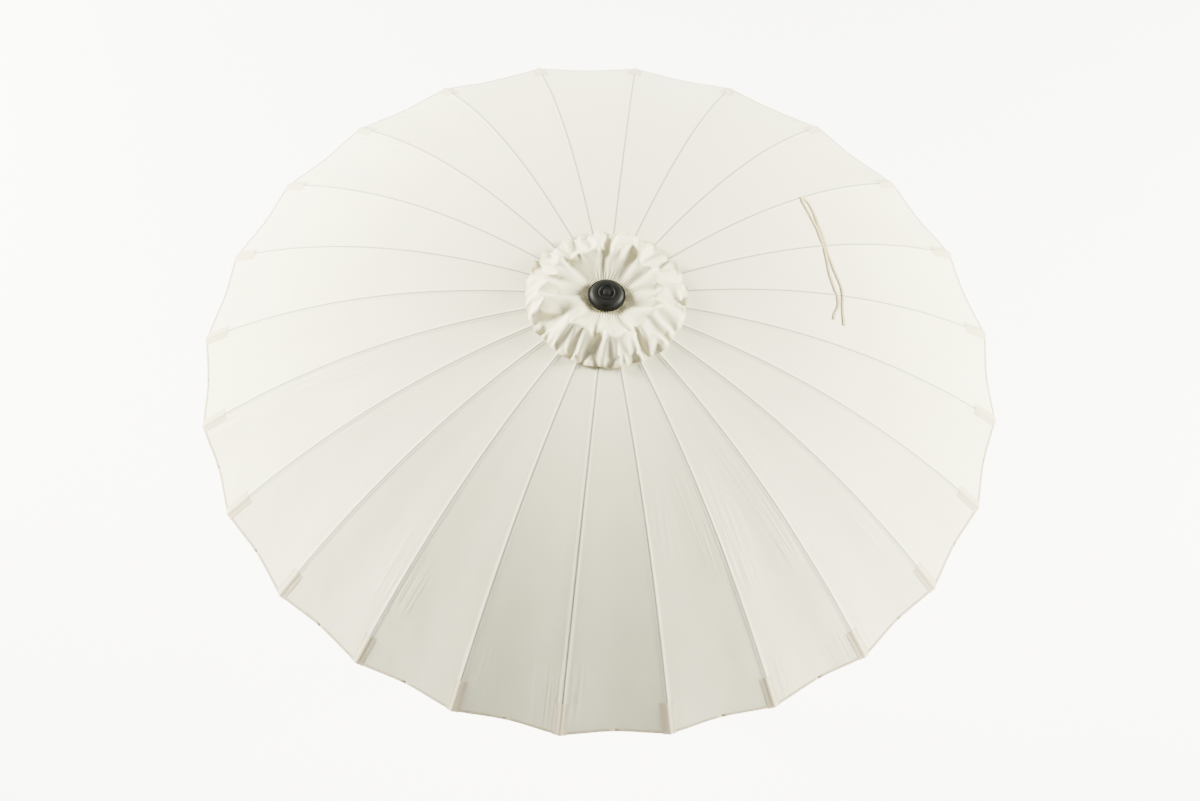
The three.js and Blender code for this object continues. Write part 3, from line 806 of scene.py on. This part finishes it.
cap_finish = Finish("cream_cap_cloth", linear(246, 243, 230), 0.8)
_, cap_across, cap_along = cap_finish.cloth_place()
overlock = cap_finish.level(cap_along, 0.955, 0.975)
cap_weave = cap_finish.noise(cap_finish.object_place(), 900.0, 1.0)
cap_tone = cap_finish.blend(cap_finish.noise(cap_finish.object_place(), 14.0, 3.0),
                            linear(230, 224, 188), linear(220, 213, 174))
cap_finish.set("Base Color", cap_finish.blend(overlock * 0.8, cap_tone, linear(222, 210, 164)))
overlock_loops = overlock * (cap_across * (2 * math.pi / STITCH)).sine()
cap_finish.bump(cap_weave * 0.0002 + overlock_loops * 0.0006)
cap_finish.set("Sheen Weight", 0.15)

CAP_GATHERS = 58                        # small pleats at the finial
CAP_GATHER_REACH = 0.060
CAP_GATHER_DEPTH = 0.0030
CAP_DISH = (0.066, 0.160)               # radii between which the cloth eases into broad folds
CAP_DISH_TURNS = 24
CAP_CLEARANCE = 0.0045                  # least height over the canopy


def settled_cap():
    """The settled cloth, eased in its dish, made finer, pleated and kept off the canopy."""
    shape = bmesh.new()
    shape.from_mesh(cap_whole.data)
    dish = [vert for vert in shape.verts if CAP_DISH[0] < vert.co.xy.length < CAP_DISH[1]]
    for turn in range(CAP_DISH_TURNS):
        bmesh.ops.smooth_vert(shape, verts=dish, factor=0.5, use_axis_x=True, use_axis_y=True,
                              use_axis_z=True)
    bmesh.ops.subdivide_edges(shape, edges=shape.edges, cuts=1, use_grid_fill=True, smooth=0.8)
    for vert in shape.verts:
        radius = math.hypot(vert.co.x, vert.co.y)
        angle = math.atan2(vert.co.y, vert.co.x)
        gathered = max(0.0, 1 - (radius - CAP_INNER) / CAP_GATHER_REACH)
        swing = math.sin(angle * CAP_GATHERS + 4 * noise.noise(vert.co * 30))
        vert.co.z += CAP_GATHER_DEPTH * gathered * swing
        vert.co.z = max(vert.co.z, canopy_height(radius) + CAP_CLEARANCE)
    return finished_mesh("cap_fine", shape)


cap_fine = settled_cap()
cap_normals = [vertex.normal.copy() for vertex in cap_fine.vertices]


def cap_gore_mesh(name, number):
    """One gore's part of the cloth, with the whole cloth's normals, so that no line shows."""
    shape = bmesh.new()
    shape.from_mesh(cap_fine)
    gore = shape.faces.layers.int["gore"]
    marker = shape.verts.layers.int.new("marker")
    for index, vert in enumerate(shape.verts):
        vert[marker] = index
    bmesh.ops.delete(shape, geom=[face for face in shape.faces if face[gore] != number], context="FACES")
    order = [vert[marker] for vert in shape.verts]
    mesh = finished_mesh(name, shape)
    mesh.normals_split_custom_set_from_vertices([cap_normals[index] for index in order])
    return mesh


# each ring's name, its first and last row, and the width it keeps when closed
CAP_RINGS = (("inner", 0, CAP_INNER_ROWS, 0.70), ("outer", CAP_INNER_ROWS, CAP_ROWS, 0.48))
for rib in range(RIBS):
    for ring, (part_name, first_row, last_row, keep) in enumerate(CAP_RINGS):
        name = f"vent_cap_{part_name}_{rib_number(rib)}"
        gore_piece = new_piece(name, cap_gore_mesh(name, rib + ring * RIBS), cap_finish,
                               f"rib_{rib_number(rib)}")
        long = (CAP_EDGE - CAP_INNER) * (last_row - first_row) / CAP_ROWS * CAP_CUT
        middle = CAP_INNER + (CAP_EDGE - CAP_INNER) * (first_row + last_row) / 2 / CAP_ROWS
        wide = 2 * math.pi * middle * CAP_CUT / RIBS
        fold_away(gore_piece)
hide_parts("vent_cap")
bpy.data.objects.remove(cap_whole)
bpy.data.meshes.remove(cap_fine)


# ---- The finial ----
# A stepped knob of black moulded plastic screws through the cap into the crown hub and holds
# the gathered cloth down. Its sides round over to a flat top with a raised ring and a button.

finial_low, finial_high = (Vector(corner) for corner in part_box("finial"))
FINIAL_STUD = 0.024                     # length of the stud below the knob
FINIAL_STUD_RADIUS = 0.004
FINIAL_RIM = 0.0022                     # rounding of the knob's rim
FINIAL_SIDE_REACH = 0.0225              # the rounded side, inwards and upwards
FINIAL_SIDE_RISE = 0.0155
FINIAL_STEPS = 72

black_finish = Finish("black_moulded_plastic", (0.006, 0.0065, 0.006), 0.5)
black_grain = black_finish.noise(black_finish.object_place(), 1400.0, 2.0)
black_cloud = black_finish.noise(black_finish.object_place(), 30.0, 3.0)
black_finish.set("Base Color", black_finish.blend(
    black_cloud, (0.0045, 0.005, 0.0045), (0.009, 0.0095, 0.009)))
black_finish.set("Roughness", 0.45 + black_cloud * 0.2)
black_finish.set("Specular IOR Level", 0.12)
black_finish.bump(black_grain * 0.00012)


def spun_mesh(name, profile, steps, closed=False, sharp=35):
    """Spins a profile of (radius, height) points about the pole's axis."""
    shape = bmesh.new()
    line = [shape.verts.new((radius, 0, height)) for radius, height in profile]
    edges = [shape.edges.new(pair) for pair in zip(line, line[1:])]
    if closed:
        edges.append(shape.edges.new((line[-1], line[0])))
    bmesh.ops.spin(shape, geom=line + edges, cent=(0, 0, 0), axis=(0, 0, 1), angle=2 * math.pi,
                   steps=steps, use_merge=True)
    bmesh.ops.remove_doubles(shape, verts=shape.verts, dist=1e-6)
    bmesh.ops.recalc_face_normals(shape, faces=shape.faces)
    for face in shape.faces:
        face.smooth = True
    mesh = finished_mesh(name, shape)
    mesh.set_sharp_from_angle(angle=math.radians(sharp))
    return mesh


def arc(middle, radius, start, end, parts):
    """Points of an arc, its angles in degrees from level outwards."""
    turns = [math.radians(start + (end - start) * part / parts) for part in range(parts + 1)]
    return [(middle[0] + radius * math.cos(turn), middle[1] + radius * math.sin(turn)) for turn in turns]


finial_radius = finial_high.x
knob = finial_low.z + FINIAL_STUD
top = finial_high.z
# the stud and the knob's underside
finial_profile = [(0, finial_low.z), (FINIAL_STUD_RADIUS, finial_low.z), (FINIAL_STUD_RADIUS, knob),
                  (finial_radius - 0.002, knob)]
# the rim, the step over it and the rounded side
finial_profile += arc((finial_radius - FINIAL_RIM, knob + FINIAL_RIM), FINIAL_RIM, -90, 0, 4)
finial_profile += arc((finial_radius - FINIAL_RIM, knob + 0.0062), FINIAL_RIM, 0, 60, 3)
finial_profile += [(finial_radius - 0.0042, knob + 0.0082), (finial_radius - 0.0052, knob + 0.0082)]
for turn in (math.radians(10 * part) for part in range(1, 10)):
    finial_profile.append((finial_radius - 0.0060 - FINIAL_SIDE_REACH * (1 - math.cos(turn)),
                           knob + 0.0086 + FINIAL_SIDE_RISE * math.sin(turn)))
# the groove, the raised ring and the button on top
finial_profile += [(0.0305, top - 0.0030), (0.0300, top - 0.0042), (0.0285, top - 0.0042)]
finial_profile += arc((0.0262, top - 0.0026), 0.0014, 0, 180, 6)
finial_profile += [(0.0238, top - 0.0040), (0.0150, top - 0.0042), (0.0142, top - 0.0050),
                   (0.0128, top - 0.0050)]
finial_profile += [(0.0120, top - 0.0030), (0.0085, top - 0.0010), (0.0040, top - 0.0002), (0, top)]
finial = new_piece("finial_knob", spun_mesh("finial_knob", finial_profile, FINIAL_STEPS),
                   black_finish, "pole")
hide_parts("finial")


# ---- The pole ----
# Two lengths of off-white powder-coated aluminium tube. The upper one steps in to a spigot that
# stands in the lower one, and a moulded plug closes the foot.

POLE_WALL = 0.0015
POLE_GAP = 0.0003
POLE_STEPS = 64
POLE_LIP = 0.0005                       # rounding of a tube's end

coated_finish = Finish("powder_coated_aluminium", linear(232, 229, 218), 0.38, 0.0)
coated_cloud = coated_finish.noise(coated_finish.object_place(), 7.0, 4.0)
coated_peel = coated_finish.noise(coated_finish.object_place(), 650.0, 2.0)
coated_scuff = coated_finish.level(coated_finish.noise(
    coated_finish.stretch(coated_finish.object_place(), (90, 90, 6)), 1.0, 4.0), 0.62, 0.78)
coated_finish.set("Base Color", coated_finish.blend(
    coated_scuff * 0.35, linear(233, 230, 219), linear(205, 201, 188)))
coated_finish.set("Roughness", 0.32 + coated_cloud * 0.12 + coated_scuff * 0.15)
coated_finish.bump(coated_peel * 0.00008)
coated_finish.set("Coat Weight", 0.25)

upper_low, upper_high = (Vector(corner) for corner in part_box("upper_pole"))
lower_low, lower_high = (Vector(corner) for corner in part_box("lower_pole"))
pole_radius = lower_high.x
pole_bore = pole_radius - POLE_WALL
spigot = pole_bore - POLE_GAP
upper_start = lower_high.z + POLE_GAP


def tube_end(outer, bore, height, turn):
    """The rounded lip of a tube: turn is 1 at its upper end and -1 at its lower end."""
    return [(outer, height - turn * POLE_LIP), (outer - POLE_LIP, height),
            (bore + POLE_LIP, height), (bore, height - turn * POLE_LIP)]


lower_profile = tube_end(pole_radius, pole_bore, lower_high.z, 1)
lower_profile += tube_end(pole_radius, pole_bore, lower_low.z, -1)[::-1]
lower_pole = new_piece("lower_pole_tube", spun_mesh("lower_pole_tube", lower_profile, POLE_STEPS, True),
                       coated_finish, "pole")
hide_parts("lower_pole")
upper_profile = tube_end(pole_radius, pole_bore, upper_high.z, 1)
upper_profile += [(pole_bore, upper_start + 0.004), (spigot - POLE_WALL, upper_start + 0.002)]
upper_profile += tube_end(spigot, spigot - POLE_WALL, upper_low.z, -1)[::-1]
upper_profile += [(spigot, upper_start), (pole_radius - POLE_LIP, upper_start),
                  (pole_radius, upper_start + POLE_LIP)]
upper_pole = new_piece("upper_pole_tube", spun_mesh("upper_pole_tube", upper_profile, POLE_STEPS, True),
                       coated_finish, "pole")
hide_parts("upper_pole")

plug_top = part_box("foot_plug")[1][2]
plug_profile = [(0, 0)]
plug_profile += arc((pole_radius - 0.0015, 0.0015), 0.0015, -90, 0, 4)
plug_profile += arc((pole_radius - 0.0008, lower_low.z - POLE_GAP - 0.0008), 0.0008, 0, 90, 3)
plug_profile += [(spigot, lower_low.z - POLE_GAP), (spigot, plug_top - 0.003),
                 (spigot - 0.002, plug_top), (0, plug_top)]
plug = new_piece("foot_plug_moulding", spun_mesh("foot_plug_moulding", plug_profile, POLE_STEPS),
                 black_finish, "pole")
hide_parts("foot_plug")


# ---- The crown hub and the runner ----
# Both are black mouldings with a slot for each rib or strut. The runner adds finger rings round
# its sleeve, and a wire ring, like the crown's, runs through the eyes of all the struts.

runner_low, runner_high = (Vector(corner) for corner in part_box("runner"))
STRUT_RING_RADIUS = 0.050
STRUT_RING_WIRE = 0.0015
RUNNER_DISC = 0.018
RUNNER_SLEEVE = 0.027
RUNNER_RINGS = 5
RUNNER_RING_FIRST = 0.014               # the lowest finger ring over the sleeve's end
RUNNER_RING_STEP = 0.011
RUNNER_RING_PROUD = 0.0004
RUNNER_RING_WIRE = 0.0018


def refinish(node, finish):
    """Gives a part of the frame its finish."""
    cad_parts[node].data.materials.clear()
    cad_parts[node].data.materials.append(finish.material)


refinish("crown_hub", black_finish)
refinish("runner", black_finish)

wire_finish = Finish("galvanised_wire", (0.55, 0.56, 0.57), 0.35, 1.0)
wire_finish.set("Roughness", 0.3 + wire_finish.noise(wire_finish.object_place(), 300.0) * 0.25)


def ring_mesh(name, radius, wire, height, steps):
    """A round ring of round wire: 16 corners, and none of its edges sharp."""
    return spun_mesh(name, arc((radius, height), wire, 0, 337.5, 15), steps, True, 180)


ring_height = runner_high.z - RUNNER_DISC / 2
new_piece("strut_wire_ring",
          ring_mesh("strut_wire_ring", STRUT_RING_RADIUS, STRUT_RING_WIRE, ring_height, 96),
          wire_finish, "runner")
for index in range(RUNNER_RINGS):
    name = f"runner_finger_ring_{index + 1}"
    height = runner_low.z + RUNNER_RING_FIRST + index * RUNNER_RING_STEP
    new_piece(name, ring_mesh(name, RUNNER_SLEEVE + RUNNER_RING_PROUD, RUNNER_RING_WIRE, height, 64),
              black_finish, "runner")


# ---- Ribs and struts ----
# The ribs are grey glass-fibre bars, pultruded so that their grain runs along them. The struts
# are powder-coated aluminium, like the pole.

fibre_finish = Finish("grey_glass_fibre", linear(176, 175, 168), 0.5)
fibre_cloud = fibre_finish.noise(fibre_finish.object_place(), 25.0, 3.0)
fibre_grain = fibre_finish.noise(fibre_finish.object_place(), 420.0, 2.0)
fibre_finish.set("Base Color", fibre_finish.blend(
    fibre_cloud, linear(186, 185, 178), linear(162, 161, 154)))
fibre_finish.set("Roughness", 0.4 + fibre_grain * 0.2)
fibre_finish.bump(fibre_grain * 0.0002)

for rib in range(RIBS):
    refinish(f"rib_{rib_number(rib)}", fibre_finish)
    refinish(f"strut_{rib_number(rib)}", coated_finish)


# ---- The crank ----
# A black moulded housing round the pole holds the spool of the lift cord, which the handle
# turns. Four bright steel screws with round recesses close the housing.

housing_low, housing_high = (Vector(corner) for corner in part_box("crank_housing"))
SCREW_RADIUS = 0.0034
SCREW_INSET = 0.0095                    # from the housing's edges
SCREW_HEAD = 0.0012
SCREW_RIM = 0.0016
SCREW_RECESS = 0.0009

for node in ("crank_housing", "crank_handle", "cord_spool"):
    refinish(node, black_finish)

steel_finish = Finish("bright_steel", (0.5, 0.5, 0.5), 0.28, 1.0)
steel_finish.set("Roughness", 0.22 + steel_finish.noise(steel_finish.object_place(), 800.0) * 0.2)


def screw_set_mesh(name, places, front):
    """Round screw heads that face -Y, each with a round recess."""
    shape = bmesh.new()
    for across, height in places:
        turn = Matrix.Translation((across, front, height)) @ Matrix.Rotation(math.pi / 2, 4, "X")
        head = bmesh.ops.create_circle(shape, cap_ends=True, segments=24, radius=SCREW_RADIUS,
                                       matrix=turn)
        face = head["verts"][0].link_faces[0]
        raised = bmesh.ops.extrude_face_region(shape, geom=[face])["geom"]
        lifted = [item for item in raised if isinstance(item, bmesh.types.BMVert)]
        lid = [item for item in raised if isinstance(item, bmesh.types.BMFace)]
        bmesh.ops.translate(shape, vec=(0, -SCREW_HEAD, 0), verts=lifted)
        bmesh.ops.inset_individual(shape, faces=lid, thickness=SCREW_RIM)
        bmesh.ops.translate(shape, vec=(0, SCREW_RECESS, 0), verts=lid[0].verts)
    bmesh.ops.recalc_face_normals(shape, faces=shape.faces)
    return finished_mesh(name, shape)


screw_places = [(side * (housing_high.x - SCREW_INSET), height) for side in (-1, 1)
                for height in (housing_low.z + SCREW_INSET, housing_high.z - SCREW_INSET)]
new_piece("housing_screws", screw_set_mesh("housing_screws", screw_places, housing_low.y),
          steel_finish, "pole")
